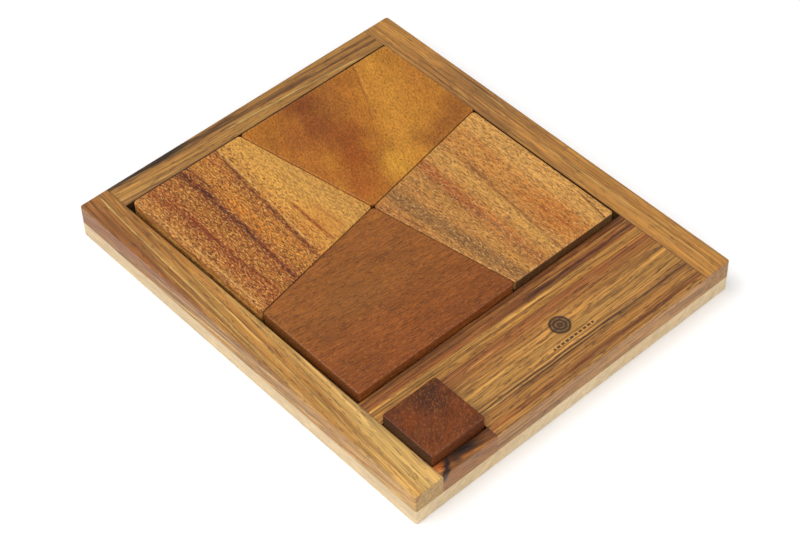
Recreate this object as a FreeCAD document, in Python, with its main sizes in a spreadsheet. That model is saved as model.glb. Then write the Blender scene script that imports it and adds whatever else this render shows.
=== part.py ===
import FreeCAD, Part
import os

import Sketcher

# A flat wooden tray with a square play pocket, a front shelf with a small square recess,
# four loose four-sided tiles cut from one square, and one small loose square.
#
# Frame: millimetres. X runs across the front, Y towards the back, Z up.
# The origin is the centre of the tray's underside.
#
# The four tiles are one square cut by two straight lines that cross at right angles in
# its middle. The small square is about as wide as twice the cuts' offset, so the five pieces
# together also make a slightly larger square that still fits the pocket.

os.makedirs("parts", exist_ok=True)
doc = FreeCAD.newDocument("dissection_tray")

# ---- driving dimensions: alias, value, meaning (millimetres and degrees) ----
DIMENSIONS = [
    ("tray_width", 130.0, "across the front"),
    ("tray_length", 155.0, "front to back"),
    ("base_thickness", 5.8, "pale board under the frame"),
    ("frame_height", 6.9, "frame, cross rail, shelf board and lip"),
    ("side_rail_width", 10.5, "left and right rails"),
    ("back_rail_width", 9.9, "rail across the back"),
    ("pocket_length", 109.0, "play pocket, front to back"),
    ("cross_rail_width", 10.3, "strip between pocket and shelf"),
    ("recess_width", 21.1, "storage recess, across"),
    ("lip_depth_left", 4.7, "recess lip at its left end"),
    ("lip_depth_right", 4.2, "recess lip at its right end"),
    ("tile_thickness", 10.0, "the four tiles"),
    ("tile_half_side", 52.9, "half the side of the square the tiles are cut from"),
    ("front_right_trim", 0.65, "sanded off the right side of the front right tile"),
    ("cut_offset", 10.0, "where each cut meets a side, from the side's middle"),
    ("saw_gap", 0.2, "between neighbouring tiles"),
    ("tiles_centre_x", -0.45, "where the tiles meet"),
    ("tiles_centre_y", 11.85, "where the tiles meet"),
    ("tiles_turn", -0.15, "the loose tiles lie slightly turned"),
    ("small_side", 20.8, "small square"),
    ("small_thickness", 11.2, "small square, which stands a little prouder than the tiles"),
    ("small_centre_x", -43.95, "small square in its recess"),
    ("small_centre_y", -62.2, "small square in its recess"),
    ("tray_corner_radius", 0.9, "outer upright corners"),
    ("tray_edge_ease", 0.4, "sanded outer edges"),
    ("inner_edge_ease", 0.25, "sanded edges round the pocket"),
    ("tile_corner_radius", 1.3, "upright corners of the tiles"),
    ("small_corner_radius", 0.8, "upright corners of the small square"),
    ("tile_edge_ease", 0.5, "sanded edges of the loose pieces"),
]

sheet = doc.addObject("Spreadsheet::Sheet", "dims")
for row, (alias, number, meaning) in enumerate(DIMENSIONS, start=1):
    sheet.set(f"A{row}", alias)
    sheet.set(f"B{row}", str(number))
    sheet.set(f"C{row}", meaning)
    sheet.setAlias(f"B{row}", alias)
doc.recompute()

# ---- lines of the layout, as formulas on the sheet ----
HALF_WIDTH = "dims.tray_width / 2"
HALF_LENGTH = "dims.tray_length / 2"
POCKET_HALF_WIDTH = f"({HALF_WIDTH} - dims.side_rail_width)"
POCKET_BACK = f"({HALF_LENGTH} - dims.back_rail_width)"
POCKET_FRONT = f"({POCKET_BACK} - dims.pocket_length)"
SHELF_BACK = f"({POCKET_FRONT} - dims.cross_rail_width)"
RECESS_RIGHT = f"(dims.recess_width - {POCKET_HALF_WIDTH})"

ROOT_POINT = (-1, 1)
START = 1
TINY = 1e-4
VERTICAL = 0.999


def millimetres(formula):
    """The present value of a formula on the sheet."""
    return float(sheet.evalExpression(formula))


def new_body(label, height_above_base):
    """A body that stands on the base board, or under it, by a formula for its height."""
    body = doc.addObject("PartDesign::Body", label)
    body.Label = label
    body.setExpression("Placement.Base.z", height_above_base)
    return body


def ground_sketch(body, name):
    """An empty sketch on the body's own XY plane."""
    plane = next(item for item in body.Origin.OriginFeatures if item.Role == "XY_Plane")
    sketch = body.newObject("Sketcher::SketchObject", name)
    sketch.AttachmentSupport = (plane, "")
    sketch.MapMode = "FlatFace"
    return sketch


def place_point(sketch, line, name, axis, formula):
    """Hold a line's start point at a signed distance from the root point."""
    kind = {"x": "DistanceX", "y": "DistanceY"}[axis]
    distance = millimetres(formula)
    if distance < 0:
        constraint = Sketcher.Constraint(kind, line, START, *ROOT_POINT, -distance)
        formula = f"-({formula})"
    else:
        constraint = Sketcher.Constraint(kind, *ROOT_POINT, line, START, distance)
    index = sketch.addConstraint(constraint)
    sketch.renameConstraint(index, name)
    sketch.setExpression(f"Constraints.{name}", formula)


def polygon_sketch(body, name, corners):
    """A closed outline through corners given as pairs of formulas, first to last."""
    sketch = ground_sketch(body, name)
    points = [FreeCAD.Vector(millimetres(x), millimetres(y), 0) for x, y in corners]
    count = len(points)
    for index in range(count):
        following = points[(index + 1) % count]
        sketch.addGeometry(Part.LineSegment(points[index], following), False)
    for index in range(count):
        following = (index + 1) % count
        sketch.addConstraint(Sketcher.Constraint("Coincident", index, 2, following, START))
    for index, (x, y) in enumerate(corners):
        if x == y == "0":
            sketch.addConstraint(Sketcher.Constraint("Coincident", index, START, *ROOT_POINT))
        else:
            place_point(sketch, index, f"corner_{index}_x", "x", x)
            place_point(sketch, index, f"corner_{index}_y", "y", y)
    return sketch


def box_corners(left, right, front, back):
    """A rectangle's corners, anticlockwise from the front left."""
    return [(left, front), (right, front), (right, back), (left, back)]


def pad(body, sketch, height):
    """Raise the sketch by a formula for the height."""
    feature = body.newObject("PartDesign::Pad", "pad")
    feature.Profile = sketch
    feature.setExpression("Length", height)
    sketch.Visibility = False
    doc.recompute()
    return feature


def fillet(body, base, wanted, radius):
    """Round the edges of base that wanted(edge) picks. A piece with no such edge stays."""
    names = [f"Edge{n}" for n, edge in enumerate(base.Shape.Edges, start=1) if wanted(edge)]
    if not names:
        return base
    feature = body.newObject("PartDesign::Fillet", "fillet")
    feature.Base = (base, names)
    feature.setExpression("Radius", radius)
    doc.recompute()
    return feature


def middle(edge):
    return edge.valueAt((edge.FirstParameter + edge.LastParameter) / 2)


def upright(edge):
    return abs(edge.tangentAt(edge.FirstParameter).z) > VERTICAL


def on_outside(point):
    """Whether a point lies on the tray's outer walls, its rounded corners included."""
    reach_x = millimetres(HALF_WIDTH) - abs(point.x)
    reach_y = millimetres(HALF_LENGTH) - abs(point.y)
    radius = millimetres("dims.tray_corner_radius")
    in_corner = reach_x < radius - TINY and reach_y < radius - TINY
    return reach_x < TINY or reach_y < TINY or in_corner


def outer_corner(edge):
    """An upright edge where two of the tray's outer walls meet."""
    point = middle(edge)
    at_side = millimetres(HALF_WIDTH) - abs(point.x) < TINY
    at_end = millimetres(HALF_LENGTH) - abs(point.y) < TINY
    return upright(edge) and at_side and at_end


def flat_edge(edge):
    """Any edge of a plate's top or bottom face."""
    return not upright(edge)


def top_edge(edge):
    """An edge of a frame piece's top face."""
    return flat_edge(edge) and abs(middle(edge).z - millimetres("dims.frame_height")) < TINY


def top_outer_edge(edge):
    """A top edge on the tray's outer walls."""
    return top_edge(edge) and on_outside(middle(edge))


def top_pocket_edge(edge):
    """A top edge along the pocket's front or back wall."""
    walls = [millimetres(POCKET_FRONT), millimetres(POCKET_BACK)]
    return top_edge(edge) and any(abs(middle(edge).y - wall) < TINY for wall in walls)


def frame_piece(label, corners):
    """A strip of the frame: squared, then rounded where it is the tray's outside."""
    body = new_body(label, "dims.base_thickness")
    solid = pad(body, polygon_sketch(body, f"{label}_outline", corners), "dims.frame_height")
    solid = fillet(body, solid, outer_corner, "dims.tray_corner_radius")
    solid = fillet(body, solid, top_outer_edge, "dims.tray_edge_ease")
    fillet(body, solid, top_pocket_edge, "dims.inner_edge_ease")
    return body


def base_panel():
    """The pale board under everything, flush with the frame all round."""
    body = new_body("base_panel", "0")
    corners = box_corners(f"-{HALF_WIDTH}", HALF_WIDTH, f"-{HALF_LENGTH}", HALF_LENGTH)
    solid = pad(body, polygon_sketch(body, "base_outline", corners), "dims.base_thickness")
    solid = fillet(body, solid, outer_corner, "dims.tray_corner_radius")
    fillet(body, solid, lambda edge: abs(middle(edge).z) < TINY, "dims.tray_edge_ease")
    return body


def tray_pieces():
    """The glued frame: the long rails run through, and the other strips butt between."""
    pocket_left = f"-{POCKET_HALF_WIDTH}"
    front = f"-{HALF_LENGTH}"
    left = box_corners(f"-{HALF_WIDTH}", pocket_left, front, HALF_LENGTH)
    right = box_corners(POCKET_HALF_WIDTH, HALF_WIDTH, front, HALF_LENGTH)
    back = box_corners(pocket_left, POCKET_HALF_WIDTH, POCKET_BACK, HALF_LENGTH)
    cross = box_corners(pocket_left, POCKET_HALF_WIDTH, SHELF_BACK, POCKET_FRONT)
    shelf = box_corners(RECESS_RIGHT, POCKET_HALF_WIDTH, front, SHELF_BACK)
    lip = [
        (pocket_left, front),
        (RECESS_RIGHT, front),
        (RECESS_RIGHT, f"{front} + dims.lip_depth_right"),
        (pocket_left, f"{front} + dims.lip_depth_left"),
    ]
    return [
        frame_piece("left_rail", left),
        frame_piece("right_rail", right),
        frame_piece("back_rail", back),
        frame_piece("cross_rail", cross),
        frame_piece("shelf_board", shelf),
        frame_piece("recess_lip", lip),
    ]


def tile(label, quarter_turns, trim):
    """One of the four tiles, drawn as the back right one and turned into place.

    The tiles are equal but for trim, which is sanded off the side that is drawn at the back.
    """
    body = new_body(label, "dims.base_thickness")
    far_side = f"(dims.tile_half_side - {trim})"
    corners = [
        ("0", "0"),
        ("dims.tile_half_side", "dims.cut_offset"),
        ("dims.tile_half_side", far_side),
        (f"-dims.cut_offset * {far_side} / dims.tile_half_side", far_side),
    ]
    solid = pad(body, polygon_sketch(body, f"{label}_outline", corners), "dims.tile_thickness")
    solid = fillet(body, solid, upright, "dims.tile_corner_radius")
    fillet(body, solid, flat_edge, "dims.tile_edge_ease")

    # Each tile backs away from both cuts by half the saw gap, along the bisector of the
    # cuts' corner, which leans away from the diagonal by the cuts' own slope.
    body.Placement.Rotation = FreeCAD.Rotation(FreeCAD.Vector(0, 0, 1), 0)
    turn = f"({quarter_turns * 90} + dims.tiles_turn)"
    slope = "atan(dims.cut_offset / dims.tile_half_side)"
    bisector = f"({turn} * 1deg + 45deg + {slope})"
    step = "dims.saw_gap / 2 * sqrt(2)"
    body.setExpression("Placement.Rotation.Angle", f"{turn} * 1deg")
    body.setExpression("Placement.Base.x", f"dims.tiles_centre_x + {step} * cos({bisector})")
    body.setExpression("Placement.Base.y", f"dims.tiles_centre_y + {step} * sin({bisector})")
    return body


def small_square():
    """The fifth loose piece, in the storage recess."""
    body = new_body("small_square", "dims.base_thickness")
    half = "dims.small_side / 2"
    corners = box_corners(f"-{half}", half, f"-{half}", half)
    solid = pad(body, polygon_sketch(body, "small_outline", corners), "dims.small_thickness")
    solid = fillet(body, solid, upright, "dims.small_corner_radius")
    fillet(body, solid, flat_edge, "dims.tile_edge_ease")
    body.setExpression("Placement.Base.x", "dims.small_centre_x")
    body.setExpression("Placement.Base.y", "dims.small_centre_y")
    return body


TILES = [
    ("tile_back_right", 0, "0"),
    ("tile_back_left", 1, "0"),
    ("tile_front_left", 2, "0"),
    ("tile_front_right", 3, "dims.front_right_trim"),
]

bodies = [base_panel()] + tray_pieces()
bodies += [tile(label, quarter_turns, trim) for label, quarter_turns, trim in TILES]
bodies.append(small_square())
doc.recompute()

# ---- nothing is written unless every object and every solid is sound ----
for item in doc.Objects:
    if {"Invalid", "Error"} & set(item.State):
        raise RuntimeError(f"{item.Label} failed: {item.State}")
for body in bodies:
    if body.Shape.isNull() or not body.Shape.isValid() or len(body.Shape.Solids) != 1:
        raise RuntimeError(f"{body.Label} is not one sound solid")

for body in bodies:
    body.Shape.exportStep(f"parts/{body.Label}.step")
    box = body.Shape.BoundBox
    print(f"{body.Label}: {body.Shape.Volume:.1f} mm3, z {box.ZMin:.2f} to {box.ZMax:.2f}")
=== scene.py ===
import math

import bpy
from mathutils import Matrix, Vector


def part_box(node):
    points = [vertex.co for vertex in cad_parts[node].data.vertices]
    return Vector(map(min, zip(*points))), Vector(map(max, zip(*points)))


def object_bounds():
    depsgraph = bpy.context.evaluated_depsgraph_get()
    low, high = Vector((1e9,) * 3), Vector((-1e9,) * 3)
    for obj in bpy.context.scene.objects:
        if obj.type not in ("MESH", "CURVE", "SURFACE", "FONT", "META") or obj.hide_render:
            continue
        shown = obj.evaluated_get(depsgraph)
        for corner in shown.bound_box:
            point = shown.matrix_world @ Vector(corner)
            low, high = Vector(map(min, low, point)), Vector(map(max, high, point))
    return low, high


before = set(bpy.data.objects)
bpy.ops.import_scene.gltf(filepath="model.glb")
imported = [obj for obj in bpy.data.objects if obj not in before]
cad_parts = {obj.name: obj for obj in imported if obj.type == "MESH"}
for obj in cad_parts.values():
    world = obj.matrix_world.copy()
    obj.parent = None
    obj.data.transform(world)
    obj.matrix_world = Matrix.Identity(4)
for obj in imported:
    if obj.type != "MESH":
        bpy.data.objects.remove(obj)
cad_low, cad_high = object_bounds()

MM = 0.001

# Every pattern reads another part of the same endless noise. A piece starts at a place that
# its material's name gives, and each pattern lies this much further on than the one before.
PATTERN_STARTS = 97
PATTERN_STEP = 7.3
PATTERN_SKEW = (1.0, 1.7, 0.6)

# Real wood fibres and pores are 0.03 to 0.2 mm wide, too fine to show on a whole tray. They
# are drawn this wide instead, so that the wood still looks crisp and close-grained.
FIBRE = 0.5
PORE = 0.42

# The walls round the pocket and the recess are painted nearly black, as painted shade for the
# narrow gaps beside the loose pieces, which get little light and look like dark lines.
GAP_SHADE_WALL = "#26150B"
LEFT, RIGHT, FRONT, BACK = (-1.0, 0.0, 0.0), (1.0, 0.0, 0.0), (0.0, -1.0, 0.0), (0.0, 1.0, 0.0)


def linear(hex_colour):
    """An sRGB hex colour as linear red, green, blue and alpha."""
    parts = [int(hex_colour[i:i + 2], 16) / 255 for i in (1, 3, 5)]
    return [p / 12.92 if p <= 0.04045 else ((p + 0.055) / 1.055) ** 2.4 for p in parts] + [1.0]


class Wood:
    """The material of one wooden piece, coloured and pitted in millimetres.

    A place on the piece is (right, back): millimetres from the piece's middle, in the tray's
    own directions. The grain's own directions are along the fibres, across them, and through,
    which is up.
    """

    def __init__(self, name, node, grain_degrees):
        self.material = bpy.data.materials.new(name)
        self.material.use_nodes = True
        self.tree = self.material.node_tree
        self.tree.nodes.clear()
        self.node = node
        self.seed = sum(ord(letter) for letter in name) % PATTERN_STARTS
        self.turn = math.radians(grain_degrees)
        low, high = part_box(node)
        self.half = (high - low) / 2 / MM
        place = {
            "Vector": self.add("TexCoord", out="Object"),
            "Location": (low + high) / 2,
            "Rotation": (0.0, 0.0, self.turn),
            "Scale": (MM, MM, MM),
        }
        self.point = self.add("Mapping", place, vector_type="TEXTURE")
        self.along = self.add("SeparateXYZ", {0: self.point}, out="X")
        self.across = self.add("SeparateXYZ", {0: self.point}, out="Y")
        self.through = self.add("SeparateXYZ", {0: self.point}, out="Z")
        self.flow = self.point
        self.relief = 0.0

    def add(self, kind, inputs=None, out=0, **settings):
        """Add a node, set it up and link it, and give back one of its outputs.

        inputs maps a socket's name or number to a value or to another node's output.
        """
        node = self.tree.nodes.new("ShaderNode" + kind)
        for name, value in settings.items():
            setattr(node, name, value)
        for socket, value in (inputs or {}).items():
            if isinstance(value, bpy.types.NodeSocket):
                self.tree.links.new(value, node.inputs[socket])
            else:
                node.inputs[socket].default_value = value
        return node.outputs[out] if out is not None else node

    def figure(self, length, width, detail=2.0):
        """Soft blots about this long and wide, from 0 to 1, different at every call."""
        self.seed += PATTERN_STEP
        shift = [self.seed * skew for skew in PATTERN_SKEW]
        stretch = {0: self.flow, 1: (1 / length, 1 / width, 1 / width), 2: shift}
        place = self.add("VectorMath", stretch, operation="MULTIPLY_ADD")
        noise = {"Vector": place, "Scale": 1.0, "Detail": detail, "Roughness": 0.55}
        return self.add("TexNoise", noise, out="Fac")

    def grow(self, wander, ripple, ring_tilt):
        """Let the grain lines wander over tens of millimetres, ripple over a few, and lean.

        On the top face the lines keep the places they are given, and they lean away below it.
        """
        long_curves, short_curves = (70.0, 22.0), (11.0, 4.0)
        leaning = {0: self.through, 1: ring_tilt, 2: self.across}
        leaning = self.add("Math", leaning, operation="MULTIPLY_ADD")
        wandering = {0: self.figure(*long_curves), 1: wander, 2: leaning}
        wandering = self.add("Math", wandering, operation="MULTIPLY_ADD")
        rippling = {0: self.figure(*short_curves), 1: ripple, 2: wandering}
        rippling = self.add("Math", rippling, operation="MULTIPLY_ADD")
        average = (wander + ripple) / 2 + self.half.z * ring_tilt
        self.lines = self.add("Math", {0: rippling, 1: average}, operation="SUBTRACT")
        flow = {"X": self.along, "Y": self.lines, "Z": self.through}
        self.flow = self.add("CombineXYZ", flow)

    def bands(self, *stops):
        """Colours across the board: (millimetres across from the middle, hex colour)."""
        first, last = stops[0][0], stops[-1][0]
        way = self.add("MapRange", {0: self.lines, 1: first, 2: last})
        self.colour = self.add("ValToRGB", {0: way})
        ramp = self.colour.node.color_ramp
        while len(ramp.elements) < len(stops):
            ramp.elements.new(0.5)
        for element, (across, shade) in zip(ramp.elements, stops):
            element.position = (across - first) / (last - first)
            element.color = linear(shade)

    def paint(self, mask, shade, strength=1.0):
        """Lay a colour over the wood where the mask is 1."""
        amount = self.add("Math", {0: mask, 1: strength}, operation="MULTIPLY")
        layers = {0: amount, 6: self.colour, 7: linear(shade)}
        self.colour = self.add("Mix", layers, out=2, data_type="RGBA")

    def tone(self, length, width, contrast, detail=2.0):
        """Darken and lighten the wood in blots, by up to this part of its colour."""
        darkest, palest = 0.38, 0.62
        blots = self.figure(length, width, detail)
        factor = {0: blots, 1: darkest, 2: palest, 3: 1 - contrast, 4: 1 + contrast}
        factor = self.add("MapRange", factor)
        self.colour = self.add("VectorMath", {0: self.colour, "Scale": factor}, operation="SCALE")

    def carve(self, mask, depth):
        """Sink the surface by this many millimetres where the mask is 1."""
        sunk = {0: mask, 1: -depth, 2: self.relief}
        self.relief = self.add("Math", sunk, operation="MULTIPLY_ADD")

    def in_grain(self, place):
        """A (right, back) place, as along and across."""
        right, back = place
        along = right * math.cos(self.turn) + back * math.sin(self.turn)
        return along, back * math.cos(self.turn) - right * math.sin(self.turn)

    def streak(self, start, end, width, shade, strength, broken=0.0):
        """A line of colour from place to place, fading at its ends and broken into flecks.

        broken says how much of the colour is missing between the flecks, from 0 to 1.
        """
        raggedness, outside, inside = 0.6 * width, 0.2 * width, -0.22 * width
        longest_fade, fading_part = 4.0, 0.15
        gap, fleck = 0.4, 0.56
        (first, near), (last, far) = sorted((self.in_grain(start), self.in_grain(end)))
        lean = (far - near) / (last - first)
        level = {0: self.along, 1: -lean, 2: self.lines}
        level = self.add("Math", level, operation="MULTIPLY_ADD")
        side = self.add("Math", {0: level, 1: near - lean * first}, operation="SUBTRACT")
        distance = self.add("Math", {0: side}, operation="ABSOLUTE")
        ragged = {0: self.figure(5.0, 1.2), 1: -raggedness, 2: distance}
        ragged = self.add("Math", ragged, operation="MULTIPLY_ADD")
        core = {0: ragged, 1: outside, 2: inside}
        mask = self.add("MapRange", core, interpolation_type="SMOOTHSTEP")
        fade = min(longest_fade, (last - first) * fading_part)
        for limit, inward in ((first, fade), (last, -fade)):
            reach = {0: self.along, 1: limit - inward, 2: limit + inward}
            reach = self.add("MapRange", reach, interpolation_type="SMOOTHSTEP")
            mask = self.add("Math", {0: mask, 1: reach}, operation="MULTIPLY")
        if broken:
            flecks = {0: self.figure(2.4, 0.6, 1.0), 1: gap, 2: fleck, 3: 1.0 - broken, 4: 1.0}
            flecks = self.add("MapRange", flecks)
            mask = self.add("Math", {0: mask, 1: flecks}, operation="MULTIPLY")
        self.paint(mask, shade, strength)

    def cloud(self, place, long, wide, shade, strength):
        """A soft-edged, ragged patch of colour round one place, this long and wide."""
        raggedness, outside, inside = 1.2, 2.0, 0.8
        middle = {0: self.point, 1: (*self.in_grain(place), 0.0)}
        offset = self.add("VectorMath", middle, operation="SUBTRACT")
        scale = {0: offset, 1: (2 / long, 2 / wide, 0.0)}
        scaled = self.add("VectorMath", scale, operation="MULTIPLY")
        distance = self.add("VectorMath", {0: scaled}, out="Value", operation="LENGTH")
        ragged = {0: self.figure(9.0, 5.0), 1: raggedness, 2: distance}
        ragged = self.add("Math", ragged, operation="MULTIPLY_ADD")
        patch = {0: ragged, 1: outside, 2: inside}
        patch = self.add("MapRange", patch, interpolation_type="SMOOTHSTEP")
        self.paint(patch, shade, strength)

    def dashes(self, length, width, amount, shade, strength, depth=0.0):
        """Pores and flecks: short marks along the grain, from 0, none, to 1, half the wood."""
        level_of_none, level_range, softness = 0.72, 0.22, 0.06
        level = level_of_none - level_range * amount
        mask = {0: self.figure(length, width, 1.0), 1: level, 2: level + softness}
        mask = self.add("MapRange", mask)
        self.paint(mask, shade, strength)
        if depth:
            self.carve(mask, depth)

    def end_grain(self, darkness):
        """The ends of the fibres drink more oil, so they are darker than the long faces."""
        oblique, square_on = 0.55, 0.95
        grain = (math.cos(self.turn), math.sin(self.turn), 0.0)
        facing = {0: self.add("TexCoord", out="Normal"), 1: grain}
        facing = self.add("VectorMath", facing, out="Value", operation="DOT_PRODUCT")
        facing = self.add("Math", {0: facing}, operation="ABSOLUTE")
        factor = {0: facing, 1: oblique, 2: square_on, 3: 1.0, 4: 1.0 - darkness}
        factor = self.add("MapRange", factor, interpolation_type="SMOOTHSTEP")
        self.colour = self.add("VectorMath", {0: self.colour, "Scale": factor}, operation="SCALE")

    def side(self, direction, shade, strength):
        """Colour the faces that look in one direction: painted shade on walls in narrow gaps, a
        real stain elsewhere.
        """
        oblique, square_on = 0.6, 0.9
        facing = {0: self.add("TexCoord", out="Normal"), 1: direction}
        facing = self.add("VectorMath", facing, out="Value", operation="DOT_PRODUCT")
        facing = self.add("MapRange", {0: facing, 1: oblique, 2: square_on})
        self.paint(facing, shade, strength)

    def edges(self, reach, shade, strength):
        """Handled, sanded edges: the colour shifts within this reach of every arris."""
        flat_face, sharp_edge = 0.995, 0.8
        least_worn = 0.4
        rounded = self.add("Bevel", {"Radius": reach * MM}, samples=6)
        flat = self.add("NewGeometry", out="True Normal")
        match = {0: rounded, 1: flat}
        match = self.add("VectorMath", match, out="Value", operation="DOT_PRODUCT")
        worn = {0: match, 1: flat_face, 2: sharp_edge}
        worn = self.add("MapRange", worn, interpolation_type="SMOOTHSTEP")
        patchy = {0: self.figure(5.0, 1.2), 1: 0.35, 2: 0.6, 3: least_worn}
        patchy = self.add("MapRange", patchy)
        self.paint(self.add("Math", {0: worn, 1: patchy}, operation="MULTIPLY"), shade, strength)

    def joints(self, width, shade, strength):
        """Thin dark glue lines, this wide, on the top face along the piece's four sides."""
        crisp_part = 0.4
        sloping, upward = 0.7, 0.95
        cosine, sine = math.cos(self.turn), math.sin(self.turn)
        nearest = 1000.0
        for size, (with_along, with_across) in (
            (self.half.x, (cosine, -sine)),
            (self.half.y, (sine, cosine)),
        ):
            way = self.add("Math", {0: self.along, 1: with_along}, operation="MULTIPLY")
            way = {0: self.across, 1: with_across, 2: way}
            way = self.add("Math", way, operation="MULTIPLY_ADD")
            way = self.add("Math", {0: way}, operation="ABSOLUTE")
            inside = self.add("Math", {0: size, 1: way}, operation="SUBTRACT")
            nearest = self.add("Math", {0: nearest, 1: inside}, operation="MINIMUM")
        line = self.add("MapRange", {0: nearest, 1: width, 2: width * crisp_part})
        top = self.add("SeparateXYZ", {0: self.add("TexCoord", out="Normal")}, out="Z")
        top = self.add("MapRange", {0: top, 1: sloping, 2: upward})
        self.paint(self.add("Math", {0: line, 1: top}, operation="MULTIPLY"), shade, strength)

    def oil(self, film, roughness, gloss=0.5):
        """Wipe the piece with oil, whose amber film deepens every colour, and hand it over.

        Sanding leaves shallow grooves along the grain, and the oil dries to an uneven sheen.
        """
        groove_depth, groove_strength = 0.025, 0.7
        shiniest, dullest = roughness - 0.06, roughness + 0.08
        self.carve(self.figure(9.0, 0.35, 3.0), groove_depth)
        tinted = {0: self.colour, 1: linear(film)[:3]}
        tinted = self.add("VectorMath", tinted, operation="MULTIPLY")
        normal = {"Height": self.relief, "Distance": MM, "Strength": groove_strength}
        normal = self.add("Bump", normal)
        sheen = {0: self.figure(6.0, 1.5), 1: 0.34, 2: 0.66, 3: shiniest, 4: dullest}
        shader = {
            "Base Color": tinted, "Roughness": self.add("MapRange", sheen), "IOR": 1.5,
            "Specular IOR Level": gloss, "Normal": normal,
        }
        surface = self.add("BsdfPrincipled", shader)
        self.add("OutputMaterial", {"Surface": surface}, out=None)
        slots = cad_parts[self.node].data.materials
        slots.clear()
        slots.append(self.material)


def acacia(wood, contrast):
    """The look that all the frame's strips share.

    Acacia, planed, sanded and wiped with oil. It gives the eye long crisp lines of dark and
    light brown, 1 to 3 mm apart, with fine dark pores drawn out along them.
    """
    wood.tone(80.0, 2.4, contrast * 0.5)
    wood.tone(60.0, 1.0, contrast * 0.8)
    wood.tone(24.0, FIBRE, contrast * 1.25)
    wood.dashes(15.0, PORE, 0.5, "#6A421F", contrast * 2.4, 0.04)
    wood.dashes(3.6, PORE, 0.5, "#4A2A12", contrast * 2.6, 0.06)
    wood.dashes(14.0, FIBRE, 0.34, "#E2BB7C", contrast * 1.9)
    wood.joints(0.35, "#4A2E18", 0.45)


def left_rail():
    """Acacia rail, quarter sawn: pale and honey-coloured in front, partly as painted sheen,
    browner behind.
    """
    wood = Wood("oiled_acacia_left_rail", "left_rail", 86.0)
    wood.grow(1.8, 0.6, 0.7)
    wood.bands(
        (-11.0, "#CFA46C"), (-8.0, "#D2A972"), (-6.0, "#D4AB72"), (-4.2, "#CFA468"),
        (-3.0, "#C89A5C"), (-2.0, "#B67C42"), (-0.8, "#C08C4A"), (0.5, "#AC7C42"),
        (1.8, "#AC7C44"), (2.7, "#C0945A"), (3.4, "#9C6A38"), (4.4, "#90602F"),
        (5.4, "#AA7C46"), (6.2, "#965F34"), (8.0, "#945E34"), (11.0, "#966A40"),
    )
    wood.cloud((0.0, -18.0), 50.0, 12.0, "#AA783F", 0.55)
    # The pale front cloud is partly the wood's own lighter colour and partly a painted sheen.
    wood.cloud((0.0, -66.0), 44.0, 16.0, "#DCB272", 0.65)
    wood.cloud((0.0, 64.0), 66.0, 15.0, "#94582A", 0.5)
    wood.streak((0.6, 74.0), (-1.6, 20.0), 1.0, "#8E5C30", 0.7)
    wood.streak((-1.8, 74.0), (-4.4, 10.0), 0.9, "#94602F", 0.7)
    wood.streak((3.4, 56.0), (0.4, -14.0), 0.6, "#8A5A2E", 0.7)
    wood.streak((2.6, 22.0), (-0.6, -20.0), 0.6, "#7E4E28", 0.75, broken=0.4)
    wood.streak((4.2, 10.0), (1.4, -34.0), 0.5, "#8A5C30", 0.65, broken=0.4)
    wood.streak((-0.4, -30.0), (-3.6, -80.0), 0.7, "#A8743C", 0.7)
    wood.streak((1.6, 78.0), (-2.2, 4.0), 0.8, "#DDB878", 0.8)
    wood.streak((2.4, 30.0), (-2.6, -40.0), 0.6, "#DDB878", 0.75)
    wood.streak((-2.6, 40.0), (-4.6, -30.0), 0.6, "#D8B070", 0.6)
    acacia(wood, 0.185)
    wood.end_grain(0.35)
    # Painted shade: the inner wall beside the narrow gap is painted nearly black.
    wood.side(RIGHT, GAP_SHADE_WALL, 0.8)
    wood.edges(0.9, "#8E5F34", 0.2)
    wood.oil("#EAE5C6", 0.42)


def right_rail():
    """Acacia rail, plain and even, with a smoky stretch a third of the way from the back."""
    wood = Wood("oiled_acacia_right_rail", "right_rail", 89.0)
    wood.grow(1.4, 0.5, 0.7)
    wood.bands(
        (-6.4, "#B8864A"), (-2.0, "#B47E42"), (0.5, "#BA864A"), (3.0, "#B68044"),
        (6.4, "#BC8A50"),
    )
    wood.cloud((0.0, 30.0), 58.0, 18.0, "#9C6C3E", 0.6)
    wood.cloud((3.2, 28.0), 46.0, 6.0, "#86603E", 0.6)
    wood.streak((-1.2, 55.0), (-1.8, 8.0), 0.7, "#744A2A", 0.8, broken=0.3)
    wood.streak((-0.2, 46.0), (-0.6, 16.0), 0.6, "#7E5230", 0.7)
    wood.streak((-3.2, 50.0), (-4.0, 10.0), 0.7, "#7E5230", 0.75, broken=0.4)
    wood.streak((1.2, 30.0), (0.2, -14.0), 0.6, "#84582F", 0.75, broken=0.3)
    wood.streak((2.4, 52.0), (1.8, 4.0), 0.6, "#8C603A", 0.65)
    wood.streak((-2.6, -14.0), (-1.6, -70.0), 0.6, "#966836", 0.6, broken=0.3)
    wood.streak((1.8, -20.0), (2.6, -74.0), 0.6, "#966836", 0.6, broken=0.3)
    wood.streak((-0.6, -4.0), (0.4, -74.0), 0.6, "#D6AC6A", 0.55)
    wood.streak((3.4, 74.0), (2.2, 10.0), 0.6, "#CCA064", 0.5)
    acacia(wood, 0.185)
    wood.end_grain(0.25)
    # Painted shade: the inner wall beside the narrow gap is painted nearly black.
    wood.side(LEFT, GAP_SHADE_WALL, 0.8)
    wood.edges(0.9, "#8E5F34", 0.2)
    wood.oil("#E9E3C4", 0.42)


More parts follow.
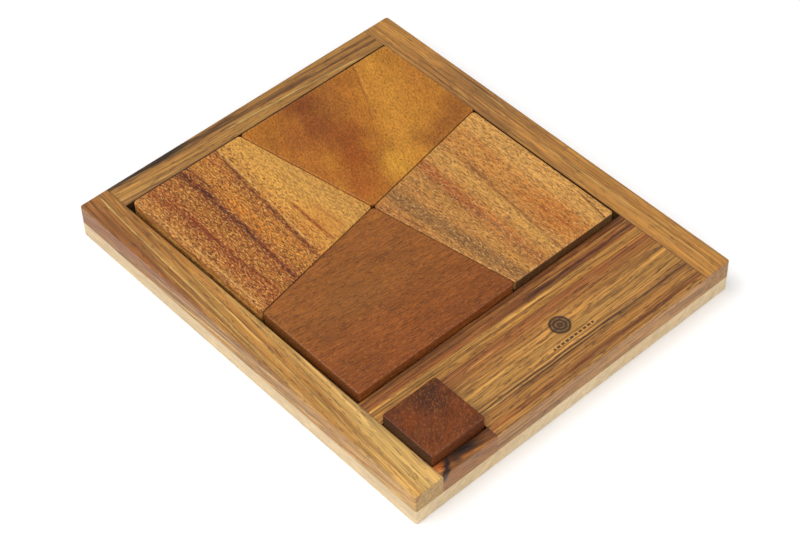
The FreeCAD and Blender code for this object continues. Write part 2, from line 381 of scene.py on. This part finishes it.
def back_rail():
    """Acacia rail with a smoky heartwood streak that slants from corner to corner."""
    wood = Wood("oiled_acacia_back_rail", "back_rail", -2.6)
    wood.grow(1.2, 0.5, 0.7)
    wood.bands(
        (-7.4, "#A87C48"), (-5.0, "#B08550"), (-3.0, "#BC9052"), (-1.0, "#B88A4E"),
        (1.5, "#B0824A"), (5.0, "#B4864C"), (7.4, "#BC8E50"),
    )
    wood.streak((-58.0, 4.7), (-4.0, 2.5), 3.8, "#46321F", 0.85)
    wood.cloud((-36.0, 4.2), 34.0, 3.4, "#241C18", 0.9)
    wood.streak((-52.0, 4.9), (-22.0, 4.5), 1.1, "#2A201C", 0.9)
    wood.streak((-24.0, 3.0), (26.0, 0.8), 3.0, "#68482F", 0.8)
    wood.streak((8.0, 1.6), (58.0, -1.2), 2.4, "#7C5838", 0.75)
    wood.streak((20.0, 3.2), (58.0, 1.4), 1.0, "#86603C", 0.7)
    wood.streak((-52.0, 1.6), (0.0, -0.4), 0.6, "#7A5630", 0.65)
    wood.streak((0.0, -0.6), (40.0, -2.8), 0.6, "#7E5832", 0.65)
    wood.streak((-46.0, -1.6), (-16.0, -2.8), 0.6, "#6A4628", 0.6, broken=0.6)
    wood.streak((-8.0, -0.2), (20.0, -1.7), 1.3, "#E2C082", 0.9)
    wood.streak((14.0, -1.4), (44.0, -4.1), 1.0, "#E2C082", 0.9)
    wood.streak((-58.0, -2.2), (-34.0, -3.6), 0.9, "#D6B070", 0.7)
    wood.streak((2.0, 4.2), (58.0, 3.4), 1.4, "#C89A5A", 0.7)
    acacia(wood, 0.21)
    wood.end_grain(0.25)
    # Painted shade: the inner wall beside the narrow gap is painted nearly black.
    wood.side(FRONT, GAP_SHADE_WALL, 0.8)
    wood.edges(0.9, "#8E5F34", 0.2)
    wood.oil("#D9CCAF", 0.42)


def cross_rail():
    """Acacia strip, half heartwood: brown behind, darkest at the back edge with painted shade from
    the tiles, pale and finely lined in front.
    """
    wood = Wood("oiled_acacia_cross_rail", "cross_rail", -1.4)
    wood.grow(0.8, 0.4, 0.7)
    # The darkest stop, at the back edge, is painted shade cast by the taller tiles behind the
    # strip.
    wood.bands(
        (-6.6, "#B3834A"), (-4.6, "#B8884C"), (-3.4, "#BE9052"), (-2.4, "#B98A4E"),
        (-1.5, "#C79A5A"), (-0.8, "#B3854B"), (-0.2, "#925F34"), (0.8, "#8A542E"),
        (2.0, "#946036"), (3.0, "#A0703E"), (3.9, "#80502C"), (6.6, "#6E4422"),
    )
    wood.streak((10.0, 0.5), (58.0, 0.0), 2.0, "#4A281A", 0.92)
    wood.streak((-58.0, 2.4), (58.0, 1.7), 0.6, "#5E3A1E", 0.7)
    wood.streak((-58.0, 3.9), (12.0, 3.7), 0.7, "#4E2E18", 0.75)
    wood.streak((8.0, 3.9), (58.0, 2.9), 0.7, "#4E2E18", 0.75)
    wood.streak((14.0, 2.9), (58.0, 2.2), 0.8, "#B4864C", 0.7)
    wood.streak((-58.0, -0.3), (0.0, -1.7), 0.5, "#6E4826", 0.8)
    wood.streak((-58.0, -1.5), (-4.0, -2.6), 0.5, "#7C542E", 0.7)
    wood.streak((-20.0, -2.2), (58.0, -3.2), 0.5, "#8A6036", 0.7)
    wood.streak((-58.0, 0.3), (4.0, -1.1), 0.5, "#D8B47A", 0.65)
    wood.streak((-58.0, -0.9), (30.0, -2.1), 0.5, "#D8B47A", 0.6)
    wood.streak((-6.0, -1.4), (58.0, -2.2), 0.6, "#D4AE74", 0.55)
    wood.streak((-30.0, -3.4), (58.0, -4.0), 0.5, "#CFA264", 0.4)
    wood.streak((-58.0, -0.6), (58.0, -3.6), 0.5, "#84582F", 0.6, broken=0.3)
    wood.streak((-40.0, -4.2), (58.0, -4.4), 0.5, "#94663A", 0.6, broken=0.3)
    acacia(wood, 0.22)
    wood.end_grain(0.25)
    # Painted shade: the back and front walls, which stand in narrow gaps, are painted nearly
    # black.
    wood.side(BACK, GAP_SHADE_WALL, 0.8)
    wood.side(FRONT, GAP_SHADE_WALL, 0.8)
    wood.edges(0.9, "#7B4F2B", 0.2)
    wood.oil("#E1CEA1", 0.42)


def shelf_board():
    """Acacia board, flat sawn: a honey-coloured middle between redder edges, with a burnt mark."""
    wood = Wood("oiled_acacia_shelf_board", "shelf_board", 0.0)
    wood.grow(1.4, 0.7, 0.7)
    wood.bands(
        (-12.9, "#AC7F4A"), (-11.5, "#B4864C"), (-10.6, "#965E33"), (-9.5, "#9E6A39"),
        (-8.4, "#B07E45"), (-6.4, "#B8854B"), (-5.2, "#AC7A43"), (-4.2, "#956A3E"),
        (-2.8, "#AC7E4A"), (-1.2, "#BF9053"), (1.6, "#C69858"), (4.2, "#BE8E51"),
        (6.4, "#BC894D"), (8.4, "#B17C43"), (10.2, "#A76E3D"), (12.9, "#A16638"),
    )
    wood.streak((-48.0, -2.2), (48.0, -2.6), 0.5, "#6A4626", 0.75, broken=0.2)
    wood.streak((-48.0, -3.4), (48.0, -4.4), 0.7, "#3A2414", 0.88)
    wood.streak((-48.0, -4.7), (14.0, -5.0), 0.7, "#442A18", 0.85)
    wood.streak((6.0, -5.2), (48.0, -3.4), 0.5, "#5A3A20", 0.75, broken=0.3)
    wood.streak((-48.0, -4.0), (30.0, -4.6), 0.5, "#D0A66C", 0.75)
    wood.streak((-24.0, -2.8), (30.0, -3.3), 0.5, "#CBA066", 0.7)
    wood.streak((-14.0, -10.3), (48.0, -10.2), 1.3, "#7A4426", 0.65, broken=0.3)
    wood.streak((-48.0, -9.2), (48.0, -9.0), 0.5, "#80522C", 0.6, broken=0.3)
    wood.streak((-48.0, -11.8), (48.0, -11.6), 0.5, "#7E5630", 0.6)
    wood.streak((4.0, 12.0), (48.0, 11.6), 1.4, "#7E4628", 0.6, broken=0.4)
    wood.streak((-48.0, 9.0), (10.0, 8.6), 0.6, "#94622F", 0.6, broken=0.4)
    wood.streak((-48.0, 5.3), (-8.0, 5.0), 0.6, "#8A5E30", 0.65)
    for start in (-1.6, 0.6, 2.6, 4.8):
        wood.streak((10.0, start), (48.0, start + 3.2), 0.6, "#8C5C32", 0.65, broken=0.3)
    for place in ((-20.0, 2.6), (-19.0, 0.6), (8.0, 2.8), (22.0, 5.4), (30.0, 0.4), (38.0, 6.6)):
        wood.cloud(place, 5.0, 1.4, "#875730", 0.6)
    acacia(wood, 0.26)
    burnt_mark(wood, (-1.5, 4.4))
    wood.end_grain(0.25)
    # Painted shade: the wall beside the recess gap is painted nearly black.
    wood.side(LEFT, GAP_SHADE_WALL, 0.8)
    wood.edges(0.6, "#6B4525", 0.3)
    wood.oil("#DED1B0", 0.42)


def burnt_mark(wood, middle):
    """A plain maker's pictogram burnt into the shelf: a log's end over a row of dashes."""
    radius, rim_blur, wobble = 3.5, 0.15, 0.8
    ring_pitch, ring_half, wood_left_between_rings = 1.25, 0.2, 0.55
    ring_outside, ring_inside = ring_half * 1.4, ring_half * 0.5
    row_half, row_below, row_end_blur, dash_half, dash_pitch = 8.4, 5.8, 0.2, 0.35, 0.9
    dash_outside, dash_inside = dash_half * 1.4, dash_half * 0.8
    gap_outside, gap_inside = 0.2, 0.35
    scorch_reach, scorch_core = 5.0, 3.0
    burn_depth = 0.1

    spot = wood.add("VectorMath", {0: wood.point, 1: (*middle, 0.0)}, operation="SUBTRACT")
    flat = wood.add("VectorMath", {0: spot, 1: (1.0, 1.0, 0.0)}, operation="MULTIPLY")
    reach = wood.add("VectorMath", {0: flat}, out="Value", operation="LENGTH")
    wavy = {0: wood.figure(3.0, 3.0), 1: wobble, 2: reach}
    wavy = wood.add("Math", wavy, operation="MULTIPLY_ADD")
    wavy = wood.add("Math", {0: wavy, 1: wobble / 2}, operation="SUBTRACT")
    ring = wood.add("Math", {0: wavy, 1: ring_pitch / 2}, operation="PINGPONG")
    rings = {0: ring, 1: ring_outside, 2: ring_inside, 3: 1.0, 4: wood_left_between_rings}
    rings = wood.add("MapRange", rings)
    disc = wood.add("MapRange", {0: wavy, 1: radius + rim_blur, 2: radius - rim_blur})
    log_end = wood.add("Math", {0: disc, 1: rings}, operation="MULTIPLY")

    side = wood.add("Math", {0: wood.add("SeparateXYZ", {0: spot}, out="X")}, operation="ABSOLUTE")
    below = {0: wood.add("SeparateXYZ", {0: spot}, out="Y"), 1: row_below}
    below = wood.add("Math", {0: wood.add("Math", below, operation="ADD")}, operation="ABSOLUTE")
    row = wood.add("MapRange", {0: below, 1: dash_outside, 2: dash_inside})
    length = wood.add("MapRange", {0: side, 1: row_half, 2: row_half - row_end_blur})
    gap = wood.add("Math", {0: side, 1: dash_pitch}, operation="PINGPONG")
    gap = wood.add("MapRange", {0: gap, 1: gap_outside, 2: gap_inside})
    row = wood.add("Math", {0: row, 1: length}, operation="MULTIPLY")
    row = wood.add("Math", {0: row, 1: gap}, operation="MULTIPLY")

    mark = wood.add("Math", {0: log_end, 1: row}, operation="MAXIMUM")
    scorch = {0: reach, 1: scorch_reach, 2: scorch_core}
    scorch = wood.add("MapRange", scorch, interpolation_type="SMOOTHSTEP")
    wood.paint(scorch, "#8A5A30", 0.25)
    wood.paint(mark, "#33251A", 0.9)
    wood.carve(mark, burn_depth)


def recess_lip():
    """Acacia offcut from beside a knot: tan, with an orange fleck and charcoal-black figure."""
    wood = Wood("oiled_acacia_recess_lip", "recess_lip", -10.0)
    wood.grow(0.8, 0.8, 0.7)
    # The back stops of the bands are partly the wood's own brown and partly painted shade from the
    # taller small square.
    wood.bands(
        (-4.2, "#B08550"), (-1.6, "#AE7E46"), (-0.2, "#9C6A3A"), (1.2, "#8A5A32"),
        (4.2, "#7A4E2A"),
    )
    # This dark brown cloud near the back is partly painted shade from the small square.
    wood.cloud((-4.0, 0.2), 5.0, 3.6, "#6E4226", 0.8)
    wood.streak((2.0, -1.4), (11.0, -2.2), 0.7, "#C79C62", 0.7)
    wood.streak((5.6, 1.9), (11.0, 0.8), 0.6, "#4E2C16", 0.85)
    wood.streak((4.6, 0.4), (11.0, -0.6), 0.5, "#6A4222", 0.7)
    wood.cloud((-9.4, 0.6), 5.4, 4.0, "#E48A3A", 0.95)
    wood.cloud((-9.8, -0.4), 3.0, 2.0, "#F0BC8C", 0.7)
    wood.cloud((1.2, 0.9), 13.5, 4.0, "#140C08", 0.97)
    wood.cloud((-3.6, -0.6), 3.4, 1.8, "#2A1A12", 0.7)
    wood.streak((-5.2, 1.6), (-11.0, -3.4), 5.0, "#1C120C", 0.97)
    acacia(wood, 0.16)
    wood.end_grain(0.25)
    # Painted shade: the back wall beside the recess gap is painted nearly black.
    wood.side(BACK, GAP_SHADE_WALL, 0.8)
    wood.edges(0.6, "#6B4525", 0.3)
    wood.oil("#C4A779", 0.42)


def base_panel():
    """Maple board, sanded and thinly oiled: cream, dull, and almost without figure."""
    wood = Wood("sanded_maple_base_panel", "base_panel", 90.0)
    wood.grow(3.0, 0.6, 0.7)
    wood.bands(
        (-66.0, "#DFC294"), (-30.0, "#DCBC8A"), (0.0, "#E2C698"), (35.0, "#DBBC8B"),
        (66.0, "#DFC294"),
    )
    wood.tone(50.0, 3.0, 0.05)
    wood.tone(9.0, 2.6, 0.06)
    wood.tone(3.0, 1.2, 0.05)
    wood.dashes(2.2, PORE, 0.25, "#A8865A", 0.5, 0.02)
    wood.end_grain(0.06)
    wood.edges(0.6, "#C9A878", 0.4)
    wood.oil("#EAEDF4", 0.55, 0.4)


def tile_back_right():
    """Camphor, sanded very smooth and oiled: golden, with soft smoky clouds and no lines."""
    wood = Wood("oiled_golden_camphor_tile", "tile_back_right", 65.0)
    wood.grow(5.0, 1.5, 0.5)
    wood.bands(
        (-36.0, "#B47830"), (-20.0, "#C28738"), (-9.0, "#C8903E"), (-5.4, "#C48A3B"),
        (-1.4, "#B97B32"), (6.0, "#B4742F"), (14.0, "#AC6D2D"), (22.0, "#B27230"),
        (36.0, "#B67830"),
    )
    wood.tone(18.0, 10.0, 0.1)
    wood.cloud((-5.0, -19.0), 15.0, 10.0, "#DCA644", 0.8)
    wood.cloud((-18.0, -4.0), 9.0, 9.0, "#C88C3A", 0.6)
    wood.cloud((-23.0, -15.0), 12.0, 8.0, "#C88A38", 0.5)
    wood.cloud((-20.0, 11.0), 15.0, 12.0, "#98582A", 0.6)
    wood.cloud((-8.0, 23.0), 15.0, 14.0, "#783C1C", 0.75)
    wood.cloud((-9.5, 12.0), 15.0, 13.0, "#864824", 0.75)
    wood.cloud((-1.0, 16.0), 18.0, 13.0, "#95602E", 0.6)
    wood.cloud((-7.0, 2.0), 15.0, 13.0, "#924C20", 0.8)
    wood.cloud((-12.0, -7.0), 14.0, 12.0, "#9C521E", 0.8)
    wood.cloud((-17.0, -18.0), 12.0, 12.0, "#A85E28", 0.7)
    for place in ((13.0, -17.5), (21.0, -15.0), (28.5, -12.0)):
        wood.cloud(place, 12.0, 13.0, "#925A2A", 0.7)
    wood.cloud((31.0, 12.0), 30.0, 8.0, "#B4763A", 0.4)
    wood.cloud((4.0, 25.0), 9.0, 26.0, "#A46A2E", 0.5)
    wood.streak((16.7, 26.9), (8.7, 9.9), 1.1, "#925626", 0.55)
    wood.streak((8.7, 9.9), (-3.3, -8.1), 1.0, "#A0642C", 0.4)
    wood.streak((17.9, 26.9), (9.9, 9.9), 0.8, "#DFAE5C", 0.35)
    wood.streak((12.6, 26.0), (5.6, 12.0), 0.6, "#9A602C", 0.35)
    wood.tone(6.0, 2.4, 0.06)
    wood.tone(1.2, FIBRE, 0.2)
    wood.dashes(0.9, PORE, 0.5, "#6E3E1A", 0.5, 0.04)
    wood.dashes(0.9, FIBRE, 0.3, "#E2B262", 0.3)
    wood.end_grain(0.45)
    wood.edges(0.8, "#8A5524", 0.3)
    wood.oil("#DFD1B0", 0.42, 0.3)


def tile_back_left():
    """Mango, spalted, sanded and oiled: coarse and speckled, with ragged dark red streaks.

    The side towards the middle of the tray is pale gold and smoother.
    """
    wood = Wood("oiled_streaked_mango_tile", "tile_back_left", 87.0)
    wood.grow(1.8, 0.9, 0.6)
    wood.bands(
        (-27.0, "#BE9054"), (-19.0, "#CFA464"), (-15.0, "#D9AC64"), (-11.0, "#D8A95F"),
        (-8.0, "#D2A05A"), (-5.6, "#C48C4A"), (-2.5, "#AC6E3A"), (0.0, "#B67A3C"),
        (3.0, "#BC803E"), (6.0, "#A66C36"), (8.0, "#905030"), (10.5, "#9A5E30"),
        (13.0, "#A26A34"), (16.0, "#A46A36"), (18.0, "#9C5A2F"), (20.0, "#A06032"),
        (23.0, "#AC7440"), (27.0, "#B88250"),
    )
    wood.tone(26.0, 1.6, 0.12)
    wood.cloud((-4.0, 4.0), 30.0, 5.0, "#CC8430", 0.6)
    wood.tone(1.8, FIBRE, 0.34, 1.0)
    wood.dashes(3.5, FIBRE, 0.5, "#6E341A", 0.65, 0.1)
    wood.dashes(1.3, FIBRE, 0.7, "#602C0E", 0.72, 0.1)
    wood.dashes(1.2, PORE, 0.7, "#F0C688", 0.62)
    pale_side = wood.add("MapRange", {0: wood.lines, 1: -5.0, 2: -13.0})
    wood.paint(pale_side, "#CC9C5A", 0.4)
    wood.cloud((10.0, -16.0), 24.0, 12.0, "#C88238", 0.45)
    wood.streak((-8.0, 34.0), (-7.4, 14.0), 4.2, "#4C2014", 0.95, broken=0.85)
    wood.streak((-5.0, 34.0), (-4.4, 18.0), 1.4, "#5E2A18", 0.85, broken=0.6)
    wood.streak((-7.4, 20.0), (-8.6, -8.0), 2.4, "#4C2014", 0.92, broken=0.7)
    wood.streak((-8.6, -4.0), (-10.4, -30.0), 2.2, "#542414", 0.9, broken=0.8)
    wood.streak((-20.6, 34.0), (-17.8, 4.0), 3.4, "#8A4526", 0.7, broken=0.9)
    wood.streak((-17.8, 14.0), (-17.4, -30.0), 1.8, "#70280F", 0.85, broken=0.8)
    wood.streak((6.5, 34.0), (5.0, 16.0), 2.4, "#6A321E", 0.85, broken=0.95)
    wood.streak((5.2, 20.0), (1.0, -24.0), 2.2, "#5E2A18", 0.85, broken=0.9)
    wood.streak((7.6, 30.0), (2.6, -20.0), 1.2, "#F0D4A0", 0.55, broken=1.0)
    wood.streak((9.6, -2.0), (8.4, -24.0), 2.0, "#8A3E1C", 0.85, broken=0.6)
    wood.streak((13.6, -8.0), (14.6, -22.0), 1.6, "#B06A34", 0.6, broken=0.7)
    wood.streak((-24.6, 20.0), (-24.9, -30.0), 1.0, "#E4BC84", 0.75, broken=0.6)
    wood.end_grain(0.4)
    wood.edges(0.8, "#8A5524", 0.3)
    wood.oil("#E7D6AA", 0.45, 0.35)


def tile_front_left():
    """Mahogany, sanded and oiled: an even red-brown, with short dark pores."""
    wood = Wood("oiled_mahogany_tile", "tile_front_left", -5.0)
    wood.grow(3.0, 1.0, 0.6)
    wood.bands(
        (-27.0, "#884C28"), (-14.0, "#8D522A"), (0.0, "#905930"), (12.0, "#935C31"),
        (27.0, "#9A6034"),
    )
    wood.tone(16.0, 9.0, 0.08)
    wood.tone(22.0, 1.4, 0.09)
    wood.tone(5.0, FIBRE, 0.15)
    for place in ((-16.0, -4.0), (10.0, 9.0), (10.0, -13.0), (3.0, -18.0), (-4.0, 6.0)):
        wood.cloud(place, 7.0, 3.4, "#6A3C20", 0.35)
    wood.cloud((-8.0, 3.0), 30.0, 18.0, "#8C5F36", 0.4)
    wood.cloud((19.0, 23.0), 7.0, 3.0, "#B87838", 0.7)
    wood.dashes(3.0, PORE, 0.55, "#553016", 0.55, 0.06)
    wood.dashes(1.2, PORE, 0.45, "#54301A", 0.55, 0.06)
    wood.dashes(1.6, PORE, 0.6, "#B8763F", 0.45)
    wood.end_grain(0.4)
    wood.edges(0.8, "#6E3E20", 0.3)
    wood.oil("#E6DAB0", 0.42, 0.3)


def tile_front_right():
    """Mango, sanded and oiled: tan and orange, with grey-brown smoky stripes.

    The front and back walls are open end grain, which has drunk so much oil that it is dark.
    """
    wood = Wood("oiled_mango_tile", "tile_front_right", 88.0)
    wood.grow(1.8, 0.9, 0.6)
    wood.bands(
        (-27.0, "#CC9C58"), (-20.0, "#D0A15C"), (-16.0, "#C68F4A"), (-11.0, "#C08845"),
        (-7.0, "#BA8648"), (-4.0, "#C99B55"), (0.0, "#C2904E"), (3.0, "#B6783E"),
        (6.0, "#B07C44"), (9.0, "#BB8A48"), (12.0, "#B48248"), (18.0, "#B08046"),
        (27.0, "#B07A42"),
    )
    wood.tone(30.0, 1.6, 0.1)
    wood.streak((-19.0, 26.0), (-13.0, -34.0), 7.5, "#80603F", 0.62)
    wood.streak((-2.0, 30.0), (-5.0, -4.0), 4.6, "#A05A2E", 0.75, broken=0.35)
    wood.streak((-5.0, 0.0), (-4.0, -34.0), 1.8, "#8A6040", 0.7, broken=0.5)
    wood.cloud((12.0, -18.0), 28.0, 12.0, "#BC7632", 0.7)
    wood.streak((18.0, 26.0), (15.0, 6.0), 2.4, "#B4703A", 0.6, broken=0.5)
    wood.tone(2.6, FIBRE, 0.24, 1.0)
    wood.dashes(1.3, PORE, 0.68, "#5E3A1C", 0.6, 0.08)
    wood.dashes(1.3, PORE, 0.55, "#EFCB90", 0.5)
    wood.streak((8.0, 16.0), (5.4, -10.0), 1.6, "#80502C", 0.8, broken=0.65)
    wood.streak((5.6, -8.0), (3.4, -34.0), 1.8, "#84502A", 0.8, broken=0.6)
    wood.streak((11.0, -2.0), (12.0, -28.0), 1.2, "#96481F", 0.7, broken=0.7)
    wood.streak((24.4, -18.0), (21.6, -34.0), 1.1, "#5E361C", 0.8, broken=0.4)
    wood.streak((-24.0, 20.0), (-20.6, 2.0), 0.9, "#8A4E26", 0.7, broken=0.5)
    wood.end_grain(0.62)
    wood.side(FRONT, "#3E2618", 0.55)
    wood.side(BACK, "#3E2618", 0.55)
    wood.edges(0.8, "#8A5524", 0.3)
    wood.oil("#E9DAC2", 0.45, 0.35)


def small_square():
    """Rosewood, sanded and oiled: dark red-brown, mottled, with one purple-grey corner.

    Its walls are painted darker as shade from the narrow gaps round it: the left and right almost
    black.
    """
    wood = Wood("oiled_rosewood_small_square", "small_square", 40.0)
    wood.grow(2.0, 1.0, 0.6)
    wood.bands((-14.0, "#6E3D28"), (-5.0, "#7A4228"), (2.0, "#744029"), (14.0, "#6A3B2A"))
    wood.tone(5.0, 3.0, 0.12)
    wood.tone(2.0, 0.6, 0.16)
    wood.cloud((5.0, 7.0), 17.0, 12.0, "#3A2628", 0.7)
    wood.cloud((-5.0, 3.0), 8.0, 8.0, "#8A4626", 0.5)
    wood.dashes(0.9, FIBRE, 0.75, "#9A6442", 0.5)
    wood.dashes(0.9, PORE, 0.6, "#3A1E14", 0.5, 0.06)
    # Painted shade on the walls, which stand in narrow gaps: strong on left and right, faint on
    # front and back.
    end_wall_shade, long_wall_shade = 0.75, 0.15
    for direction, strength in (
        (LEFT, end_wall_shade), (RIGHT, end_wall_shade), (FRONT, long_wall_shade), (BACK, long_wall_shade),
    ):
        wood.side(direction, "#20110E", strength)
    wood.edges(0.8, "#4A281A", 0.5)
    wood.oil("#DECC94", 0.45, 0.25)


def white_floor():
    """A seamless white paper table top, far wider than the tray, dull so that nothing glares.

    It lies a hair below the tray, so that the two flat faces never coincide.
    """
    width, gap = 6.0, 0.2 * MM
    bpy.ops.mesh.primitive_plane_add(size=width, location=(0.0, 0.0, cad_low.z - gap))
    floor = bpy.context.object
    floor.name = "white_floor"
    material = bpy.data.materials.new("white_paper_floor")
    material.use_nodes = True
    shader = material.node_tree.nodes["Principled BSDF"]
    shader.inputs["Base Color"].default_value = linear("#F6F6F6")
    shader.inputs["Roughness"].default_value = 0.9
    floor.data.materials.append(material)


def studio_light():
    """Plain white studio light: a soft room glow and three broad soft boxes.

    The soft boxes are square, and each has its place and width in metres and its power in watts.
    """
    world = bpy.data.worlds.new("white_studio")
    bpy.context.scene.world = world
    world.use_nodes = True
    sky = world.node_tree.nodes["Background"]
    sky.inputs["Color"].default_value = linear("#FFFFFF")
    sky.inputs["Strength"].default_value = 0.3
    for name, place, width, power in (
        ("soft_box_left", (-0.55, 0.35, 1.25), 1.1, 16.0),
        ("soft_box_front", (0.45, -0.75, 1.15), 0.9, 6.5),
        ("soft_box_low", (-0.85, -0.95, 0.55), 0.8, 9.0),
    ):
        lamp = bpy.data.lights.new(name, "AREA")
        lamp.shape = "SQUARE"
        lamp.size = width
        lamp.energy = power
        soft_box = bpy.data.objects.new(name, lamp)
        bpy.context.scene.collection.objects.link(soft_box)
        soft_box.location = place
        soft_box.rotation_euler = (-soft_box.location).to_track_quat("-Z", "Y").to_euler()


def studio_camera():
    """A long lens above the front left corner, tilted by a hair."""
    azimuth, elevation, roll = math.radians(-41.3175), math.radians(47.58), math.radians(-1.5835)
    lens, distance = 96.74, 0.65312
    target = Vector((-0.00949, -0.01042, 0.01265))
    flat = math.cos(elevation)
    back = Vector((math.sin(azimuth) * flat, -math.cos(azimuth) * flat, math.sin(elevation)))
    camera = bpy.data.objects.new("camera", bpy.data.cameras.new("camera"))
    bpy.context.scene.collection.objects.link(camera)
    camera.data.lens = lens
    camera.data.sensor_width = 36.0
    turn = (-back).to_track_quat("-Z", "Y").to_matrix().to_4x4()
    place = Matrix.Translation(target + back * distance)
    camera.matrix_world = place @ turn @ Matrix.Rotation(roll, 4, "Z")
    bpy.context.scene.camera = camera


for make_piece in (
    base_panel, left_rail, right_rail, back_rail, cross_rail, shelf_board, recess_lip,
    tile_back_right, tile_back_left, tile_front_left, tile_front_right, small_square,
):
    make_piece()

white_floor()
studio_light()
studio_camera()
bpy.context.scene.view_settings.view_transform = "Standard"
